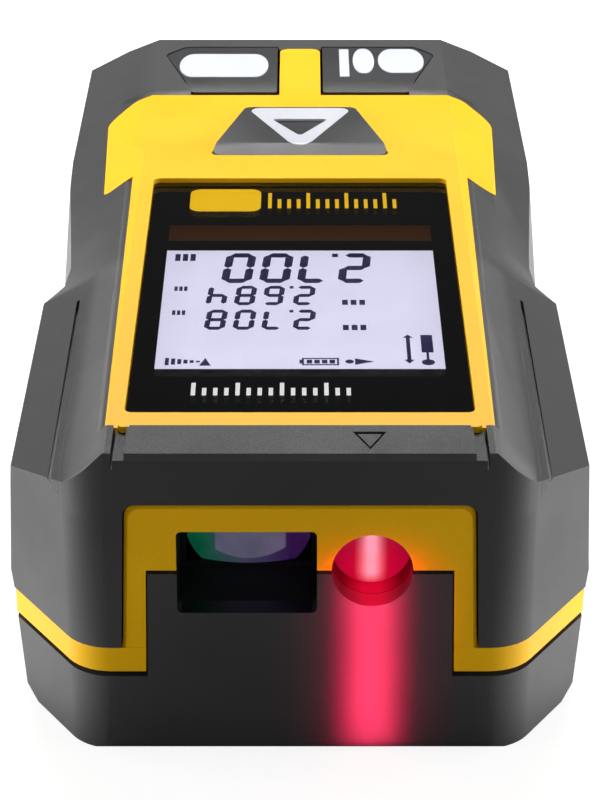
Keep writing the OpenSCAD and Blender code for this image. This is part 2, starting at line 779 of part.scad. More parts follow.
module sensor_flex() {
    ribbon_t = 0.2;
    color([0.75, 0.45, 0.12]) {
        block([port_x - 3, port_x + 3], [receiver_board_y + 1, receiver_board_y + 1 + ribbon_t],
            [port_z + 2.6, board_low - ribbon_t]);
        block([port_x - 3, port_x + 3], [receiver_board_y + 1, receiver_board_y + 7],
            [board_low - ribbon_t, board_low]);
    }
}
port_glass_y = nose + 4.5;         // front of the window in the laser port
module laser_barrel() {
    color([0.72, 0.55, 0.25]) difference() {
        union() {
            bar_y(barrel_r[0], laser_x, laser_z, [barrel_y[0], barrel_step_y]);
            bar_y(barrel_r[1], laser_x, laser_z, barrel_y);
        }
        bar_y(laser_port_r, laser_x, laser_z, [barrel_y[0] - 1, port_glass_y + 1]);
        bar_y(3.3, laser_x, laser_z, [barrel_y[0], port_glass_y + 6]);
        bar_y(2.6, laser_x, laser_z, [barrel_y[0], barrel_y[1] - 3]);
        bar_y(2.85, laser_x, laser_z, [barrel_y[1] - 3.1, barrel_y[1] + 1]);
    }
}
module laser_window() {
    color([0.9, 0.15, 0.15, 0.5])
        bar_y(laser_port_r - 0.05, laser_x, laser_z, [port_glass_y, port_glass_y + 1]);
}
module lens_ring() {
    color([0.1, 0.1, 0.1]) difference() {
        bar_y(3.25, laser_x, laser_z, [port_glass_y + 1.1, port_glass_y + 2.6]);
        bar_y(2.4, laser_x, laser_z, [barrel_y[0], port_glass_y + 4]);
    }
}
module collimator_lens() {
    bulge_r = 6;
    y = port_glass_y + 2.65;
    color([0.8, 0.85, 0.9, 0.5]) intersection() {
        bar_y(3.25, laser_x, laser_z, [y, y + 2.9]);
        translate([laser_x, y + bulge_r, laser_z]) sphere(r = bulge_r, $fn = 96);
    }
}
module laser_diode() {
    y = barrel_y[1] - 2.9;
    color([0.75, 0.7, 0.5]) {
        bar_y(2.8, laser_x, laser_z, [y, y + 1.4]);
        bar_y(1.8, laser_x, laser_z, [y - 1.8, y]);
        for (a = [90, 210, 330])
            bar_y(0.25, laser_x + 1.25 * cos(a), laser_z + 1.25 * sin(a), [y + 1.4, y + 6]);
    }
}

// ---------- power ----------
button_l = 0.9;
module cell(x, y, reversed) {
    span = cell_l - button_l;
    color([0.12, 0.2, 0.3]) {
        bar_y(cell_r, x, cell_z, reversed ? [y + button_l, y + cell_l] : [y, y + span]);
        bar_y(1.9, x, cell_z, reversed ? [y, y + button_l] : [y + span, y + cell_l]);
    }
}
spring_l = bay_y[1] - bay_y[0] - 2 * contact_t - cell_l;
module battery_left() { cell(-cell_x, bay_y[0] + contact_t + spring_l, false); }
module battery_right() { cell(cell_x, bay_y[0] + contact_t, true); }
module battery_contacts() {
    color([0.75, 0.75, 0.76]) for (y = [bay_y[0], bay_y[1] - contact_t]) {
        both_sides() {
            block([cell_x - 4, cell_x + 4], [y, y + contact_t], [cell_z - 3.6, cell_z + 3.6]);
            block([cell_x - 0.9, cell_x + 0.9], [y, y + contact_t], [cell_z, board_top]);
        }
    }
    // bridge that joins the two cells at the tail
    color([0.75, 0.75, 0.76])
        block([-cell_x, cell_x], [bay_y[1] - contact_t, bay_y[1]], [cell_z - 1.5, cell_z + 1.5]);
}
module battery_springs() {
    turns = 4;
    wire_r = 0.3;
    pitch = (spring_l - 2 * wire_r) / (turns - 1);
    module coil(x, y) {
        for (k = [0:turns - 1])
            translate([x, y + wire_r + pitch * k, cell_z]) rotate([-90, 0, 0])
                rotate_extrude() translate([3.2 - 0.35 * k, 0]) circle(r = wire_r, $fn = 16);
    }
    color([0.75, 0.75, 0.76]) {
        coil(-cell_x, bay_y[0] + contact_t);
        translate([0, bay_y[0] + bay_y[1], 0]) mirror([0, 1, 0]) coil(cell_x, bay_y[0] + contact_t);
    }
}

// ---------- fasteners ----------
module screw(x, y, z, shank_r, shank_l, head_r, head_l) {
    difference() {
        union() {
            post(head_r, x, y, [z, z + head_l]);
            post(shank_r, x, y, [z + head_l, z + head_l + shank_l]);
        }
        // cross recess
        for (a = [0, 90]) translate([x, y, z]) rotate([0, 0, a])
            cube([head_r * 1.2, head_r * 0.28, head_l * 1.2], center = true);
    }
}
module case_screws() {
    color([0.35, 0.35, 0.37]) both_sides() for (y = screw_y)
        screw(screw_x, y, 1.3, 1.3, 16.5, 2.3, 1.65);
}
module board_screws() {
    color([0.6, 0.6, 0.62]) for (p = screw_holes)
        screw(p.x, p.y, board_low - 1.1, 1, 4, 1.9, 1.08);
}

upper_housing();
keypad_deck();
nose_band();
lower_shell();
housing_seal();
battery_door();
rating_plate();
display_window();
display_mask();
window_gasket();
lcd_glass();
lcd_backlight();
lcd_holder();
lcd_connector();
measure_button();
measure_button_mark();
left_key();
left_key_mark();
right_key();
right_key_mark();
keypad_mat();
dome_switches();
main_board();
board_chips();
buzzer();
optics_chassis();
receiver_hood();
receiver_lens();
photodiode();
receiver_board();
receiver_shield();
sensor_flex();
laser_barrel();
laser_window();
collimator_lens();
lens_ring();
laser_diode();
battery_left();
battery_right();
battery_contacts();
battery_springs();
case_screws();
board_screws();
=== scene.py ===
import math

import bmesh
import bpy
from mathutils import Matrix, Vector


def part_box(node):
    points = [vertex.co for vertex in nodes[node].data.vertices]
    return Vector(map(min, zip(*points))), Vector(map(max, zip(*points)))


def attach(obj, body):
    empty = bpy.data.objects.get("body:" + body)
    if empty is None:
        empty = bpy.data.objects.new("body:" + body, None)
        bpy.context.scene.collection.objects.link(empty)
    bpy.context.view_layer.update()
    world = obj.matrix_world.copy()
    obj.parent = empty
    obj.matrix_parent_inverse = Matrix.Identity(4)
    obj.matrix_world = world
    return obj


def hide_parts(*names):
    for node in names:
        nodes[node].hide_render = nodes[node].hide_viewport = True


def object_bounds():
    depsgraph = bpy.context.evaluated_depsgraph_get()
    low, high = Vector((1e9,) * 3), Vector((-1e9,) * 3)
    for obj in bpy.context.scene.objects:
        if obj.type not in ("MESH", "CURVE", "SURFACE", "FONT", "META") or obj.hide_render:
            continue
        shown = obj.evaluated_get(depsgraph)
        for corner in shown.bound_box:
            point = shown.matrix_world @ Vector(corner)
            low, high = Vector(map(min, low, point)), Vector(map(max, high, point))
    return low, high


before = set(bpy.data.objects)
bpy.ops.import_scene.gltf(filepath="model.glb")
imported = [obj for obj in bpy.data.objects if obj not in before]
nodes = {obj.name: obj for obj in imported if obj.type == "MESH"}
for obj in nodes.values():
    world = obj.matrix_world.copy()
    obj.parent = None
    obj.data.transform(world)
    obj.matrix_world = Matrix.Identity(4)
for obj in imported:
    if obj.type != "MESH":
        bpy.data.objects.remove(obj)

MM = 0.001
CAMERA_PLACE = (0, -0.2732, 0.148)
CAMERA_TILT = 27            # degrees that the camera looks down
CAMERA_LENS = 120.1
SWEEP_LIGHT = 1.7           # brightness of the pale sweep
ROOM_LIGHT = 0.04           # brightness of the dark room in front
CEILING_LIGHT = 0.12        # brightness of the room straight above
FLOOR_HALF = 2.0            # half the side of the floor
FLOOR_GAP = 0.05 * MM       # how far the floor lies under the case
FLOOR_SHADE = 0.36          # how much light the floor throws back
FLOOR_WHITE = 0.84          # how bright the floor near the case is to the camera alone
FLOOR_GLOSS = 1.5           # how bright the floor beside the case is in its gloss
CREASE = math.radians(26)   # a shell's edges that turn more than this are rounded
RIB_HEIGHT = 0.4 * MM       # how far the raised rib stands over the deck's flat top

cad_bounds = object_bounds()
scene = bpy.context.scene

case_low, case_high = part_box("upper_housing")
window_low, window_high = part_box("display_window")
deck_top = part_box("keypad_deck")[1].z
mask_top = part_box("display_mask")[1].z
lcd_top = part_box("lcd_glass")[1].z
light_low, light_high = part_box("lcd_backlight")
laser_low, laser_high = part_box("laser_window")
lens_low, lens_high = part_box("receiver_lens")

nose = case_low.y
tail = case_high.y
deck_z = deck_top - RIB_HEIGHT           # the deck's flat top, under the raised rib
bar_back = window_low.y - 3.4 * MM          # where the nose bar ends and the bezel starts
laser_x = (laser_low.x + laser_high.x) / 2
laser_z = (laser_low.z + laser_high.z) / 2


# ---------- camera and light ----------
def add(name, data):
    """Links a new object to the scene."""
    made = bpy.data.objects.new(name, data)
    scene.collection.objects.link(made)
    return made


def aim(thing, target):
    """Turns a camera or a lamp towards a point."""
    way = Vector(target) - thing.location
    thing.rotation_euler = way.to_track_quat("-Z", "Y").to_euler()


def make_camera():
    """Looks down at the nose."""
    camera = add("camera", bpy.data.cameras.new("camera"))
    camera.location = CAMERA_PLACE
    camera.rotation_euler = (math.radians(90 - CAMERA_TILT), 0, 0)
    camera.data.lens = CAMERA_LENS
    camera.data.clip_start = 0.01
    scene.camera = camera
    scene.view_settings.view_transform = "Standard"


def softbox(name, place, target, width, height, power, colour=(1, 1, 1), spread=180):
    """A rectangular lamp that the camera doesn't see."""
    lamp = bpy.data.lights.new(name, "AREA")
    lamp.shape = "RECTANGLE"
    lamp.size = width
    lamp.size_y = height
    lamp.energy = power
    lamp.color = colour
    lamp.spread = math.radians(spread)
    made = add(name, lamp)
    made.location = place
    aim(made, target)
    made.visible_camera = False
    return made


# the laser's light on the nose, a bright core, its crimson edge and a faint halo: gap to the
# nose, width, power, colour and spread in degrees
BEAM_Z = 10.5 * MM
BEAM_HEIGHT = 19.5 * MM
BEAMS = {
    "beam_core": (0.03, 0.0034, 0.0038, (1.0, 0.075, 0.16), 9),
    "beam_edge": (0.03, 0.0054, 0.0064, (1.0, 0.0, 0.075), 10),
    "beam_halo": (0.02, 0.008, 0.0013, (1.0, 0.035, 0.15), 32),
}


def make_lights():
    """Softboxes and bounce boards at the sides, a softbox over the tail, a weak fill in front,
    and the laser's own light."""
    for side, name in ((-1, "left"), (1, "right")):
        softbox("softbox_" + name, (side * 0.42, 0.02, 0.085), (0, 0, 0.012), 0.40, 0.17, 1.5)
        board = softbox("bounce_" + name, (side * 0.07, -0.02, 0.002), (side * 0.07, -0.02, 1),
                        0.082, 0.11, 0.055)
        board.visible_glossy = False
    softbox("softbox_top", (0, 0.14, 0.23), (0, 0.02, 0.03), 0.20, 0.14, 0.82)
    softbox("softbox_front", (0, -0.5, 0.25), (0, 0, 0.02), 0.3, 0.2, 0.32)
    for name, (gap, width, power, colour, spread) in BEAMS.items():
        lamp = softbox(name, (laser_x, nose - gap, BEAM_Z), (laser_x, nose, BEAM_Z),
                       width, BEAM_HEIGHT, power, colour, spread)
        lamp.visible_glossy = False
    # a small red lamp inside the laser's port
    glow = bpy.data.lights.new("port_glow", "POINT")
    glow.energy = 0.0005
    glow.color = (1.0, 0.0, 0.19)
    glow.shadow_soft_size = 0.8 * MM
    lamp = add("port_glow", glow)
    lamp.location = (laser_x, nose + 1.9 * MM, laser_z + 1.2 * MM)
    lamp.visible_camera = False


def make_world():
    """A pale sweep low down at the back and the sides, and a dark room in front and above."""
    world = bpy.data.worlds.new("studio")
    world.use_nodes = True
    scene.world = world
    tree = world.node_tree

    def ramp(value, low, high, to_low, to_high):
        """Maps low..high smoothly onto to_low..to_high."""
        node = tree.nodes.new("ShaderNodeMapRange")
        node.interpolation_type = "SMOOTHSTEP"
        tree.links.new(value, node.inputs["Value"])
        for key, number in (("From Min", low), ("From Max", high),
                            ("To Min", to_low), ("To Max", to_high)):
            node.inputs[key].default_value = number
        return node.outputs["Result"]

    def combine(operation, a, b):
        """One sum or the like of numbers and other nodes' outputs."""
        node = tree.nodes.new("ShaderNodeMath")
        node.operation = operation
        for socket, value in zip(node.inputs, (a, b)):
            if isinstance(value, bpy.types.NodeSocket):
                tree.links.new(value, socket)
            else:
                socket.default_value = value
        return node.outputs[0]

    place = tree.nodes.new("ShaderNodeTexCoord")
    split = tree.nodes.new("ShaderNodeSeparateXYZ")
    tree.links.new(place.outputs["Generated"], split.inputs[0])
    # the sweep ends where Z is 0.22, and is weaker in front
    sweep = ramp(split.outputs["Z"], 0.0, 0.22, SWEEP_LIGHT, 0.0)
    behind = ramp(split.outputs["Y"], -0.5, 0.3, 0.15, 1.0)
    overhead = ramp(split.outputs["Z"], 0.5, 1.0, ROOM_LIGHT, CEILING_LIGHT)
    room = combine("ADD", combine("MULTIPLY", sweep, behind), overhead)
    # the camera itself sees plain white
    path = tree.nodes.new("ShaderNodeLightPath")
    room = combine("MAXIMUM", room, path.outputs["Is Camera Ray"])
    tree.links.new(room, tree.nodes["Background"].inputs["Color"])


# ---------- materials ----------
class Finish:
    """A procedural material. Each method adds a node and returns the socket that holds its result."""

    def __init__(self, name, **values):
        self.material = bpy.data.materials.new(name)
        self.material.use_nodes = True
        self.tree = self.material.node_tree
        self.shader = self.tree.nodes["Principled BSDF"]
        self.place = self.add("TexCoord").outputs["Object"]
        for key, value in values.items():
            self.set(key, value)

    def add(self, kind, **settings):
        """A new node of that kind."""
        node = self.tree.nodes.new("ShaderNode" + kind)
        for key, value in settings.items():
            setattr(node, key, value)
        return node

    def feed(self, socket, value):
        """Gives a socket a number, a colour or another node's output."""
        if isinstance(value, bpy.types.NodeSocket):
            self.tree.links.new(value, socket)
        elif isinstance(value, (tuple, list)) and len(value) == 3 and socket.type == "RGBA":
            socket.default_value = (*value, 1)
        else:
            socket.default_value = value

    def set(self, key, value):
        """Sets an input of the surface: colour sets Base Color, and so on."""
        names = {"colour": "Base Color", "coat": "Coat Weight", "coat_roughness": "Coat Roughness",
                 "transmission": "Transmission Weight", "glow": "Emission Color",
                 "glow_strength": "Emission Strength", "specular": "Specular IOR Level",
                 "sheen": "Sheen Weight", "ior": "IOR"}
        self.feed(self.shader.inputs[names.get(key, key.capitalize())], value)

    def stretch(self, x, y, z):
        """Object coordinates scaled along each axis."""
        node = self.add("Mapping")
        self.feed(node.inputs["Vector"], self.place)
        node.inputs["Scale"].default_value = (x, y, z)
        return node.outputs["Vector"]

    def noise(self, size, detail=2.0, place=None):
        """Soft noise from 0 to 1 whose lumps are about that size."""
        node = self.add("TexNoise")
        self.feed(node.inputs["Vector"], place or self.place)
        node.inputs["Scale"].default_value = 1 / size
        node.inputs["Detail"].default_value = detail
        return node.outputs["Fac"]

    def cracks(self, size):
        """Distance to the nearest edge of irregular cells of about that size."""
        node = self.add("TexVoronoi", feature="DISTANCE_TO_EDGE")
        self.feed(node.inputs["Vector"], self.place)
        node.inputs["Scale"].default_value = 1 / size
        return node.outputs["Distance"]

    def span(self, value, low, high, to_low=0.0, to_high=1.0):
        """Maps low..high onto to_low..to_high, clamped."""
        node = self.add("MapRange")
        for key, number in (("Value", value), ("From Min", low), ("From Max", high),
                            ("To Min", to_low), ("To Max", to_high)):
            self.feed(node.inputs[key], number)
        return node.outputs["Result"]

    def math(self, operation, a, b=0.0):
        """One sum or the like of numbers and other nodes' outputs."""
        node = self.add("Math", operation=operation)
        self.feed(node.inputs[0], a)
        self.feed(node.inputs[1], b)
        return node.outputs[0]

    def blend(self, share, a, b):
        """Colour a at share 0, and b at share 1."""
        node = self.add("Mix", data_type="RGBA")
        colours = [s for s in node.inputs if s.type == "RGBA"]
        self.feed(node.inputs["Factor"], share)
        self.feed(colours[0], a)
        self.feed(colours[1], b)
        return next(s for s in node.outputs if s.type == "RGBA")

    def axis(self, name):
        """The object coordinate along X, Y or Z."""
        node = self.add("SeparateXYZ")
        self.feed(node.inputs[0], self.place)
        return node.outputs[name]

    def slope(self):
        """The upward part of a face's direction: 1 on a flat top, 0 on an upright wall."""
        node = self.add("SeparateXYZ")
        self.feed(node.inputs[0], self.add("NewGeometry").outputs["True Normal"])
        return node.outputs["Z"]

    def upward(self):
        """1 on faces that look straight up, 0 on the rest."""
        return self.span(self.slope(), 0.85, 0.95)

    def tint(self, share, colour, specular=None):
        """Lays a colour, and a specular level, over the base colour where the share is 1."""
        base = self.shader.inputs["Base Color"].links[0].from_socket
        self.set("colour", self.blend(share, base, colour))
        if specular is not None:
            plain = self.shader.inputs["Specular IOR Level"].default_value
            self.set("specular", self.span(share, 0, 1, plain, specular))

    def within(self, value, low, high, soft=0.02 * MM):
        """1 between low and high, 0 outside."""
        up = self.span(value, low - soft, low + soft)
        down = self.span(value, high - soft, high + soft, 1.0, 0.0)
        return self.math("MULTIPLY", up, down)

    def bump(self, height, depth):
        """Relief of that depth in metres, in place of any relief set before."""
        node = self.add("Bump")
        node.inputs["Distance"].default_value = depth
        self.feed(node.inputs["Height"], height)
        self.feed(self.shader.inputs["Normal"], node.outputs["Normal"])


def moulded(name, colour, grain, depth, roughness, tone=0.12, **more):
    """Moulded plastic or rubber: spark-eroded grain, faint flow marks and uneven gloss."""
    f = Finish(name, **more)
    patches = f.noise(9 * MM, 3)
    fine = f.noise(grain, 3)
    darker = tuple(c * (1 - tone) for c in colour)
    lighter = tuple(min(1, c * (1 + tone)) for c in colour)
    mottle = f.math("ADD", f.span(patches, 0.3, 0.7, 0, 0.6), f.span(fine, 0.3, 0.7, 0, 0.4))
    f.set("colour", f.blend(mottle, darker, lighter))
    f.set("roughness", f.span(patches, 0.3, 0.7, roughness - 0.05, roughness + 0.05))
    f.bump(fine, depth)
    return f


def from_laser(f):
    """How far a point is to the side of the laser's middle."""
    return f.math("ABSOLUTE", f.math("SUBTRACT", f.axis("X"), laser_x))


def laser_lit(f):
    """Crimson light on a wall, fading towards the sides of the laser's port."""
    side = f.span(from_laser(f), 0.8 * MM, 2.8 * MM)
    return f.blend(side, (0.46, 0.0, 0.085), (0.12, 0.0, 0.012))


def paint_port_shade_and_light(f):
    """Painted shade, matt black inside the receiver port, and painted crimson light on the wall of the
    laser's port, both from just behind the nose."""
    margin = 0.66 * MM          # from the lens to the port's walls
    behind = f.within(f.axis("Y"), nose + 0.2 * MM, 0)
    across = f.within(f.axis("X"), lens_low.x - margin, lens_high.x + margin)
    upright = f.within(f.axis("Z"), lens_low.z - margin, lens_high.z + margin)
    # painted shade: the receiver port's walls are coloured black and dull where shade falls
    f.tint(f.math("MULTIPLY", f.math("MULTIPLY", across, upright), behind), (0.001, 0.001, 0.001), 0.0)
    reach = (laser_high.x - laser_low.x) / 2 + 0.15 * MM
    off = f.math("SUBTRACT", f.axis("X"), laser_x)
    up = f.math("SUBTRACT", f.axis("Z"), laser_z)
    away = f.math("SQRT", f.math("ADD", f.math("MULTIPLY", off, off), f.math("MULTIPLY", up, up)))
    wall = f.span(away, reach, reach + 0.05 * MM, 1.0, 0.0)
    f.tint(f.math("MULTIPLY", wall, behind), laser_lit(f), 0.1)
    return f


def armour():
    """Dark rubber, with a coarse grain on the nose bar and beside the grooves, speckled with painted
    glints.
    """
    f = moulded("armour", (0.025, 0.025, 0.027), 0.16 * MM, 0.012 * MM, 0.50)
    side = f.math("ABSOLUTE", f.axis("X"))
    bar_side = 18.0 * MM        # half the width of the nose bar's flat top
    groove = 23.55 * MM         # how far out the pads' grooves lie
    bar = f.math("MULTIPLY", f.within(side, -1, bar_side), f.within(f.axis("Y"), -1, bar_back))
    top = f.math("MULTIPLY", f.upward(), f.within(f.axis("Z"), deck_z - 0.45 * MM, 1))
    bar = f.math("MULTIPLY", bar, top)
    strip = f.math("MULTIPLY", f.within(side, groove - 0.95 * MM, groove - 0.15 * MM),
                   f.within(f.axis("Y"), -1, nose + 42 * MM))
    strip = f.math("MULTIPLY", strip, f.within(f.axis("Z"), 26.5 * MM, 1))
    grain_and_glints = f.math("MAXIMUM", bar, strip)
    # painted glints: pale specks in the colour of the nose bar's flat top and of the strips beside the
    # grooves
    painted_glints = f.span(f.noise(0.13 * MM, 1), 0.45, 0.72)
    plain = f.shader.inputs["Base Color"].links[0].from_socket
    lit = f.blend(painted_glints, (0.007, 0.007, 0.008), (0.05, 0.05, 0.053))
    f.set("colour", f.blend(grain_and_glints, plain, lit))
    f.set("specular", f.span(bar, 0, 1, 0.5, 0.28))
    # the rails between the bar and the grooves carry a painted sheen, paler than the rest
    rail_sheen = f.math("MULTIPLY", f.span(side, 18.3 * MM, 18.8 * MM), f.span(side, 22.3 * MM, 21.4 * MM))
    rail_sheen = f.math("MULTIPLY", rail_sheen, f.within(f.axis("Z"), 25.5 * MM, 1, 0.5 * MM))
    rail_sheen = f.math("MULTIPLY", rail_sheen, f.within(f.axis("Y"), nose + 1.0 * MM, nose + 47 * MM, 1.0 * MM))
    f.tint(f.math("MULTIPLY", rail_sheen, 0.55), (0.075, 0.075, 0.078))
    bumps = f.math("MULTIPLY", f.noise(0.2 * MM, 2), f.span(grain_and_glints, 0, 1, 0.3, 1.0))
    f.bump(bumps, 0.05 * MM)
    return f


def yellow_shell():
    """Satin yellow plastic of the deck and the nose surround."""
    return paint_port_shade_and_light(moulded("yellow_shell", (0.93, 0.50, 0.0), 0.22 * MM, 0.006 * MM, 0.45,
                              tone=0.05, specular=0.2))


def dark_shell():
    """Satin dark plastic of the lower shell."""
    return paint_port_shade_and_light(moulded("dark_shell", (0.031, 0.031, 0.033), 0.16 * MM, 0.012 * MM, 0.46))


def window_glass():
    """Clear acrylic with a slight smoke tint and blackened edges."""
    f = Finish("window", ior=1.49)
    clear = f.span(f.math("ABSOLUTE", f.slope()), 0.6, 0.9)
    f.set("colour", f.blend(clear, (0.01, 0.01, 0.01), (0.93, 0.93, 0.93)))
    f.set("transmission", clear)
    f.set("specular", f.span(clear, 0, 1, 0.0, 0.5))
    f.set("roughness", f.span(f.noise(6 * MM, 2), 0.35, 0.7, 0.0, 0.02))
    return f


def mask_ink():
    """Matt black print round the display."""
    f = Finish("mask", roughness=0.6, specular=0.0)
    f.set("colour", f.blend(f.noise(0.3 * MM), (0.004, 0.004, 0.004), (0.007, 0.007, 0.006)))
    return f


def liquid_crystal():
    """The lit viewing area, and the unlit ledge of the cell towards the tail."""
    f = Finish("lcd", roughness=0.25)
    view = f.within(f.axis("Y"), light_low.y, light_high.y + 1.0 * MM, 0.3 * MM)
    patch = f.span(f.noise(5 * MM, 1), 0.2, 0.8, 0.93, 1.0)
    edge = f.span(f.math("ABSOLUTE", f.axis("X")), 11 * MM, 14.4 * MM, 1.0, 0.93)
    brightness = f.math("MULTIPLY", patch, edge)
    f.set("colour", f.blend(view, (0.11, 0.045, 0.008), (0.16, 0.16, 0.2)))
    f.set("glow", f.blend(view, (0.026, 0.007, 0.0), (0.80, 0.78, 1.0)))
    f.set("glow_strength", f.math("MULTIPLY", brightness, 1.18))
    return f


def window_ink(name, colour):
    """Pale ink on the back of the window, with a painted glow that makes it look lit."""
    f = Finish(name, roughness=0.6, specular=0.0)
    tone = f.blend(f.noise(0.4 * MM), tuple(c * 0.94 for c in colour), colour)
    f.set("colour", tone)
    # painted light: the ink glows in its own colour, though no lamp lights it
    f.set("glow", tone)
    f.set("glow_strength", 0.95)
    return f


def lcd_ink():
    """Dark violet of the display's numbers."""
    f = Finish("lcd_ink", roughness=0.7)
    f.set("colour", f.blend(f.noise(0.4 * MM), (0.02, 0.02, 0.07), (0.035, 0.03, 0.11)))
    f.set("glow", (0.25, 0.22, 1.0))
    f.set("glow_strength", 0.06)
    return f


def coated_lens():
    """Anti-reflection coating: green on one side, violet on the other, with a painted glow."""
    f = Finish("lens", roughness=0.06, coat=1.0, coat_roughness=0.03, metallic=0.35)
    across = f.span(f.axis("X"), lens_low.x, lens_high.x)
    rim = f.blend(f.span(across, 0.12, 0.5), (0.005, 0.17, 0.08),
                  f.blend(f.span(across, 0.45, 0.85), (0.10, 0.09, 0.20), (0.05, 0.015, 0.13)))
    # the paler heart of the lens ends in a curve above its lower edge
    off = f.math("SUBTRACT", f.axis("X"), (lens_low.x + lens_high.x) / 2)
    bend = 85                   # per metre
    curve = f.math("MULTIPLY", f.math("MULTIPLY", off, off), bend)
    height = f.math("SUBTRACT", f.math("SUBTRACT", f.axis("Z"), lens_low.z), curve)
    heart = f.math("MULTIPLY", f.span(height, 0.55 * MM, 0.7 * MM), f.within(across, 0.23, 0.8, 0.01))
    f.set("colour", f.blend(heart, rim, (0.21, 0.20, 0.32)))
    # painted light: the lens glows in its own colours, though no lamp lights it
    f.set("glow", f.shader.inputs["Base Color"].links[0].from_socket)
    f.set("glow_strength", f.span(f.noise(2 * MM, 1), 0.3, 0.7, 0.3, 0.42))
    return f


def laser_glass():
    """The port's window, lit by the diode behind it: a pale streak on crimson."""
    f = Finish("laser_glass", roughness=0.1, specular=0.1, colour=(0.012, 0.0, 0.001))
    streak = f.span(from_laser(f), 0.3 * MM, 1.7 * MM, 1.0, 0.0)
    foot = f.span(f.axis("Z"), laser_low.z, laser_low.z + 1.2 * MM, 0.1, 1.0)
    ripple = f.span(f.noise(1.2 * MM, 2), 0.3, 0.7, 0.9, 1.0)
    f.set("glow", f.blend(f.math("MULTIPLY", f.math("POWER", streak, 1.8), foot),
                          (0.32, 0.002, 0.03), (1.0, 0.36, 0.48)))
    f.set("glow_strength", ripple)
    return f


def metal(name, colour, roughness, grain=0.5 * MM, brushed=1.0):
    """Bare or plated metal with fine scratches along Y."""
    f = Finish(name, metallic=1.0)
    scratches = f.noise(grain, 3, f.stretch(1, 1 / brushed, 1))
    f.set("colour", f.blend(scratches, tuple(c * 0.85 for c in colour), colour))
    f.set("roughness", f.span(scratches, 0.3, 0.7, roughness - 0.06, roughness + 0.08))
    f.bump(scratches, 0.003 * MM)
    return f


def barrel():
    """Turned brass, with painted crimson laser light in the mouth of the port."""
    f = metal("barrel", (0.72, 0.5, 0.22), 0.3, 0.3 * MM, 8)
    # painted light: the laser's crimson glow is laid into the colour of the port's mouth, made dull and
    # not metallic
    mouth = f.within(f.axis("Y"), -1, laser_low.y + 0.5 * MM)
    f.tint(mouth, laser_lit(f), 0.1)
    scratched = f.shader.inputs["Roughness"].links[0].from_socket
    f.set("roughness", f.math("MAXIMUM", scratched, f.span(mouth, 0, 1, 0.0, 0.6)))
    f.set("metallic", f.span(mouth, 0, 1, 1.0, 0.0))
    f.bump(f.math("MULTIPLY", f.noise(0.3 * MM, 1), f.span(mouth, 0, 1, 1.0, 0.0)), 0.003 * MM)
    return f


def circuit_board():
    """Green solder mask over faint copper tracks."""
    f = Finish("board", roughness=0.35, coat=0.4)
    tracks = f.span(f.cracks(2.2 * MM), 0.04, 0.09)
    f.set("colour", f.blend(tracks, (0.03, 0.16, 0.06), (0.008, 0.07, 0.03)))
    f.bump(tracks, 0.02 * MM)
    return f


def cell_wrap():
    """Printed sleeve of a battery cell, copper from a third of the way and dark before, with
    metallic specks."""
    f = Finish("cell_wrap", roughness=0.3)
    band = f.span(f.axis("Y"), tail - 30 * MM, tail - 29 * MM)
    speck = f.span(f.noise(0.5 * MM), 0.4, 0.6, 0.0, 0.2)
    f.set("colour", f.blend(band, (0.02, 0.03, 0.05), (0.35, 0.2, 0.05)))
    f.set("metallic", speck)
    return f


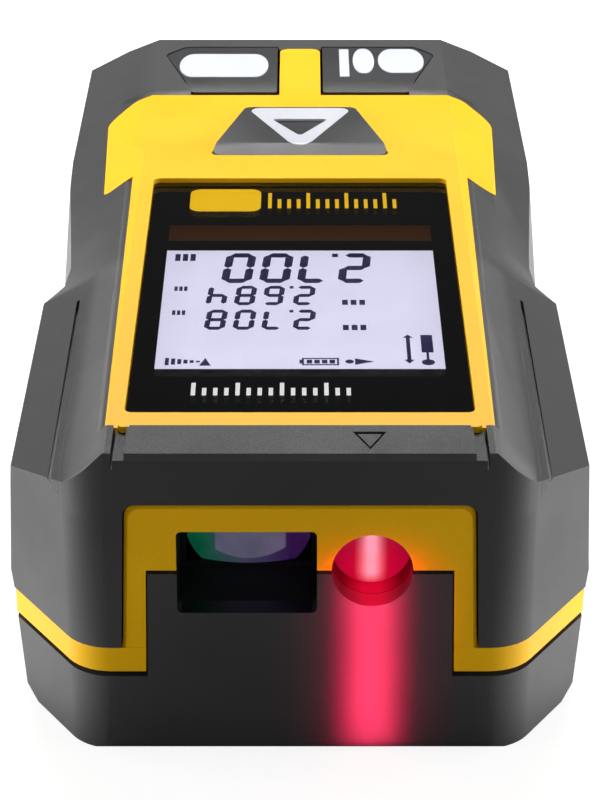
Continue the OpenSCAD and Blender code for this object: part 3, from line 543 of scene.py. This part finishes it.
MATERIALS = {
    "armour": armour,
    "yellow_shell": yellow_shell,
    "dark_shell": dark_shell,
    "seal": lambda: moulded("seal", (0.008, 0.008, 0.008), 0.2 * MM, 0.01 * MM, 0.7),
    "door": lambda: moulded("door", (0.028, 0.028, 0.030), 0.16 * MM, 0.012 * MM, 0.48),
    "plate": lambda: metal("plate", (0.55, 0.55, 0.53), 0.38, 0.25 * MM, 12),
    "window": window_glass,
    "mask": mask_ink,
    "gasket": lambda: moulded("gasket", (0.01, 0.01, 0.01), 0.3 * MM, 0.02 * MM, 0.8),
    "lcd": liquid_crystal,
    "backlight": lambda: moulded("backlight", (0.8, 0.8, 0.85), 0.4 * MM, 0.01 * MM, 0.3),
    "holder": lambda: moulded("holder", (0.7, 0.7, 0.68), 0.3 * MM, 0.01 * MM, 0.45),
    "connector": lambda: moulded("connector", (0.6, 0.25, 0.28), 0.15 * MM, 0.02 * MM, 0.7),
    "button": lambda: moulded("button", (0.022, 0.022, 0.024), 0.14 * MM, 0.008 * MM, 0.42,
                              specular=0.32),
    "white_mark": lambda: moulded("white_mark", (0.58, 0.59, 0.64), 0.2 * MM, 0.004 * MM, 0.4,
                                  tone=0.04),
    "legend": lambda: moulded("legend", (0.62, 0.64, 0.69), 0.2 * MM, 0.004 * MM, 0.45, tone=0.04),
    "mat": lambda: moulded("mat", (0.09, 0.09, 0.1), 0.4 * MM, 0.02 * MM, 0.75),
    "dome": lambda: metal("dome", (0.75, 0.72, 0.62), 0.25, 0.3 * MM),
    "board": circuit_board,
    "chip": lambda: moulded("chip", (0.012, 0.012, 0.013), 0.1 * MM, 0.01 * MM, 0.55),
    "buzzer_case": lambda: moulded("buzzer_case", (0.015, 0.015, 0.015), 0.3 * MM, 0.01 * MM, 0.4),
    "chassis": lambda: moulded("chassis", (0.06, 0.06, 0.065), 0.5 * MM, 0.03 * MM, 0.6),
    "hood": lambda: moulded("hood", (0.0015, 0.0012, 0.001), 0.2 * MM, 0.01 * MM, 0.8),
    "lens": coated_lens,
    "laser_glass": laser_glass,
    "sensor_can": lambda: metal("sensor_can", (0.75, 0.72, 0.6), 0.3),
    "shield": lambda: metal("shield", (0.7, 0.7, 0.72), 0.3, 0.4 * MM, 6),
    "flex": lambda: moulded("flex", (0.45, 0.18, 0.03), 0.3 * MM, 0.005 * MM, 0.35),
    "barrel": barrel,
    "ring": lambda: metal("ring", (0.05, 0.05, 0.05), 0.4),
    "cell_wrap": cell_wrap,
    "contact": lambda: metal("contact", (0.75, 0.75, 0.76), 0.28, 0.3 * MM, 4),
    "screw": lambda: metal("screw", (0.22, 0.22, 0.23), 0.35, 0.2 * MM),
}
finishes = {}


def finish(slot):
    """The material of a slot, made when it is first asked for."""
    if slot not in finishes:
        finishes[slot] = MATERIALS[slot]().material
    return finishes[slot]


slot_of = {name: made.data.materials[0].name.split(".")[0] for name, made in nodes.items()}


def dress_nodes():
    """Gives each CAD node the finish of its material slot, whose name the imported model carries."""
    for name, made in nodes.items():
        made.data.materials.clear()
        made.data.materials.append(finish(slot_of[name]))


# ---------- shells ----------
# radius in millimetres of each shell's edges, and the body that it rides on
SHELLS = {
    "upper_housing": (0.25, "case"), "keypad_deck": (0.12, "case"), "nose_band": (0.12, "case"),
    "lower_shell": (0.20, "case"), "receiver_hood": (0.05, "case"), "display_window": (0.08, "case"),
    "case_screws": (0.06, "case"), "battery_door": (0.15, "battery_door"),
    "measure_button": (0.20, "measure_button"), "measure_button_mark": (0.06, "measure_button"),
    "left_key": (0.14, "left_key"), "right_key": (0.14, "right_key"),
}


def refine(name, radius, body):
    """A piece that stands for a CAD node: its shape with whole faces, rounded edges and smooth
    curves."""
    source = nodes[name]
    bm = bmesh.new()
    bm.from_mesh(source.data)
    bmesh.ops.remove_doubles(bm, verts=bm.verts, dist=0.002 * MM)
    bmesh.ops.dissolve_limit(bm, angle_limit=math.radians(0.4), verts=bm.verts, edges=bm.edges)
    edges = [e for e in bm.edges if len(e.link_faces) == 2 and e.calc_face_angle() > CREASE]
    bmesh.ops.bevel(bm, geom=edges, offset=radius, offset_type="OFFSET", segments=2, profile=0.5,
                    affect="EDGES", clamp_overlap=True, miter_outer="ARC")
    for face in bm.faces:
        face.smooth = True
    for edge in bm.edges:
        edge.smooth = len(edge.link_faces) == 2 and edge.calc_face_angle() < 1.6 * CREASE
    mesh = bpy.data.meshes.new(name + "_skin")
    bm.to_mesh(mesh)
    bm.free()
    made = add(name + "_skin", mesh)
    slot = slot_of[name]
    mesh.materials.append(finish(slot))
    normals = made.modifiers.new("normals", "WEIGHTED_NORMAL")
    normals.keep_sharp = True
    normals.weight = 70
    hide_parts(name)
    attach(made, body)


# ---------- display and prints ----------
def plate(name, outlines, z, thickness, look):
    """Thin closed solids from outlines that are lists of (x, y), joined in one piece."""
    bm = bmesh.new()
    for outline in outlines:
        low = [bm.verts.new((x, y, z)) for x, y in outline]
        high = [bm.verts.new((x, y, z + thickness)) for x, y in outline]
        bm.faces.new(low[::-1])
        bm.faces.new(high)
        for k in range(len(outline)):
            j = (k + 1) % len(outline)
            bm.faces.new((low[k], low[j], high[j], high[k]))
    bmesh.ops.recalc_face_normals(bm, faces=bm.faces)
    mesh = bpy.data.meshes.new(name)
    bm.to_mesh(mesh)
    bm.free()
    made = add(name, mesh)
    mesh.materials.append(look.material)
    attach(made, "case")


# the segments of a digit that are on: top, top right, bottom right, bottom, bottom left,
# top left, middle
SEGMENTS = {
    "0": "abcdef", "2": "abged", "4": "fgbc", "6": "afgedc", "7": "abc", "8": "abcdefg",
}


def digit_outlines(digit, x, y, width, height, stroke):
    """Seven-segment digit whose lower left corner is at x, y, as the user reads it."""
    half = stroke / 2
    gap = stroke * 0.06
    mid = height / 2

    def bar(ax, ay, bx, by):
        """A segment from a to b with pointed ends, a little heavier where it lies level."""
        along = Vector((bx - ax, by - ay)).normalized()
        across = Vector((-along.y, along.x)) * half * (1.25 if ay == by else 1)
        a = Vector((ax, ay)) + along * gap
        b = Vector((bx, by)) - along * gap
        tip = along * half
        return [a, a + tip + across, b - tip + across, b, b - tip - across, a + tip - across]

    left, right = half, width - half
    low, high = half, height - half
    places = {
        "a": (left, high, right, high), "b": (right, mid, right, high), "c": (right, low, right, mid),
        "d": (left, low, right, low), "e": (left, low, left, mid), "f": (left, mid, left, high),
        "g": (left, mid, right, mid),
    }
    slant = 0.07                # how far the digits lean, per millimetre of height
    return [[(x + p.x + slant * p.y, y + p.y) for p in bar(*places[key])] for key in SEGMENTS[digit]]


def rectangle(x0, y0, x1, y1):
    return [(x0, y0), (x1, y0), (x1, y1), (x0, y1)]


def rounded_box(x0, y0, x1, y1, radius, steps=6):
    """Rectangle with round corners."""
    corners = ((x1 - radius, y1 - radius, 0), (x0 + radius, y1 - radius, 90),
               (x0 + radius, y0 + radius, 180), (x1 - radius, y0 + radius, 270))
    return [(x + radius * math.cos(math.radians(a + 90 * k / steps)),
             y + radius * math.sin(math.radians(a + 90 * k / steps)))
            for x, y, a in corners for k in range(steps + 1)]


def disc(x, y, radius, count=20):
    turns = [2 * math.pi * k / count for k in range(count)]
    return [(x + radius * math.cos(a), y + radius * math.sin(a)) for a in turns]


def as_read(outlines):
    """The display is read from the tail, so its drawing is turned half round. In millimetres,
    from the middle of the viewing area."""
    middle = (light_low.y + light_high.y) / 2 + 0.1 * MM
    return [[(-x * MM, middle - y * MM) for x, y in o] for o in outlines]


def make_readout():
    """Three rows of numbers, unit bars and status icons, in millimetres as the user reads them."""
    shapes = []
    # text, left edge, base line, digit width and height, pitch, stroke, left edge of the unit bars
    rows = (("2700", -7.75, -14.9, 3.25, 7.5, 4.05, 0.86, 11.3),
            ("2684", -1.7, -6.45, 2.15, 4.65, 2.95, 0.56, 11.9),
            ("2708", -1.7, -0.5, 2.15, 4.65, 2.95, 0.56, 11.9))
    for text, left, base, width, height, pitch, stroke, unit in rows:
        for k, digit in enumerate(text):
            shift = 0.35 * (pitch - width) if k else 0
            shapes += digit_outlines(digit, left + k * pitch + shift, base, width, height, stroke)
        dot = left + width + 0.05 * height
        shapes.append(rectangle(dot, base, dot + 0.75 * stroke, base + stroke))
        for k in range(3):
            x = unit + 0.11 * height * k
            shapes.append(rectangle(x, base + 0.1, x + 0.075 * height, base + 0.25 * height))
    # plain bars where the row names would be
    for base in (-3.0, 3.1):
        for k in range(3):
            x = -6.8 + 0.9 * k
            shapes.append(rectangle(x, base, x + 0.6, base + 1.2))
    # signal bars that fade, and a warning triangle
    low, high = 10.8, 12.4
    middle = (low + high) / 2
    for k in range(6):
        x = 13.3 - 0.62 * k
        half = 0.8 - 0.13 * k
        shapes.append(rectangle(x - 0.2, middle - half, x + 0.2, middle + half))
    shapes.append([(8.9, high + 0.1), (10.05, high + 0.1), (9.48, low)])
    # battery gauge, its four cells and its knob
    line = 0.2
    shapes += [rectangle(-3.7, low, -0.4, low + line), rectangle(-3.7, high - line, -0.4, high),
               rectangle(-3.9, low, -3.7, high), rectangle(-0.4, low, -0.2, high),
               rectangle(-0.2, middle - 0.4, 0.05, middle + 0.4)]
    for k in range(4):
        x = -3.5 + 0.76 * k
        shapes.append(rectangle(x, low + 0.4, x + 0.55, high - 0.4))
    # the beam: a lamp and its cone
    shapes += [disc(-4.95, middle, 0.42), [(-5.5, low + 0.1), (-5.5, high - 0.1), (-7.35, middle)]]
    # the meter standing on its foot, and the height it measures from
    shapes += [rectangle(-13.45, 5.5, -12.25, 9.5), rectangle(-12.95, 9.5, -12.7, 11.2),
               disc(-12.82, 11.75, 0.65), rectangle(-11.15, 6.1, -10.75, 11.2),
               [(-11.45, 6.1), (-10.45, 6.1), (-10.95, 5.4)],
               [(-11.45, 11.2), (-10.95, 12.0), (-10.45, 11.2)]]
    plate("lcd_digits", as_read(shapes), lcd_top + 0.01 * MM, 0.03 * MM, lcd_ink())


def ruler(x, y, pitch, count, width, long, short):
    """Outlines of a row of ticks, in metres: every fourth one is long."""
    return [rectangle(x + k * pitch, y, x + k * pitch + width, y + (short if k % 4 else long))
            for k in range(count)]


def make_prints():
    """Plain prints on the back of the window: ticks of a ruler, and a blank badge with ticks."""
    z = mask_top + 0.002 * MM
    thickness = 0.006 * MM
    pitch, width = 1.08 * MM, 0.42 * MM
    white = ruler(-10.6 * MM, window_low.y + 5.3 * MM, pitch, 15, width, 2.7 * MM, 1.6 * MM)
    plate("window_ticks", white, z, thickness, window_ink("white_ink", (0.9, 0.9, 0.92)))
    low, high = window_high.y - 7.6 * MM, window_high.y - 1.2 * MM
    gold = [rounded_box(-12.4 * MM, low, -4.4 * MM, high, 1.2 * MM)]
    gold += ruler(-3.6 * MM, low + 0.9 * MM, pitch, 14, width, 4.4 * MM, 2.6 * MM)
    plate("window_badge", gold, z, thickness, window_ink("gold_ink", (1.0, 0.60, 0.01)))


# ---------- floor ----------
def spare(name, thing, lamps):
    """Keeps the light of the lamps off a thing."""
    group = bpy.data.collections.new(name)
    group.objects.link(thing)
    group.collection_objects[0].light_linking.link_state = "EXCLUDE"
    for lamp in lamps:
        bpy.data.objects[lamp].light_linking.receiver_collection = group


def make_floor():
    """Pale seamless floor that takes a soft shadow."""
    mesh = bpy.data.meshes.new("floor")
    z = cad_bounds[0][2] - FLOOR_GAP
    corners = rectangle(-FLOOR_HALF, -FLOOR_HALF, FLOOR_HALF, FLOOR_HALF)
    mesh.from_pydata([(x, y, z) for x, y in corners], [], [(0, 1, 2, 3)])
    floor = add("floor", mesh)
    f = Finish("floor", roughness=0.9)
    f.set("colour", f.blend(f.noise(0.3), (FLOOR_SHADE,) * 3, (FLOOR_SHADE * 1.04,) * 3))
    # the camera sees it white, with a little shadow near the case, and the case mirrors it only
    # beside the nose's corners
    path = f.add("LightPath")
    beside = f.math("MULTIPLY", f.span(f.math("ABSOLUTE", f.axis("X")), 0.018, 0.030),
                    f.span(f.axis("Y"), -0.085, -0.065))
    mirrored = f.math("MULTIPLY", path.outputs["Is Glossy Ray"], f.math("MULTIPLY", beside, FLOOR_GLOSS))
    reach = f.add("VectorMath", operation="LENGTH")
    f.feed(reach.inputs[0], f.place)
    white = f.span(reach.outputs["Value"], 0.13, 0.34, FLOOR_WHITE, 1.0)
    seen = f.math("MULTIPLY", path.outputs["Is Camera Ray"], white)
    f.set("glow", (1, 1, 1))
    f.set("glow_strength", f.math("ADD", seen, mirrored))
    mesh.materials.append(f.material)
    # the laser's light falls on the nose alone
    spare("spared_floor", floor, BEAMS)


make_camera()
make_lights()
make_world()
dress_nodes()
for shell, (edge_radius, shell_body) in SHELLS.items():
    refine(shell, edge_radius * MM, shell_body)
make_readout()
make_prints()
make_floor()
# the softbox over the tail doesn't glare in the window
spare("spared_window", bpy.data.objects["display_window_skin"], ["softbox_top"])
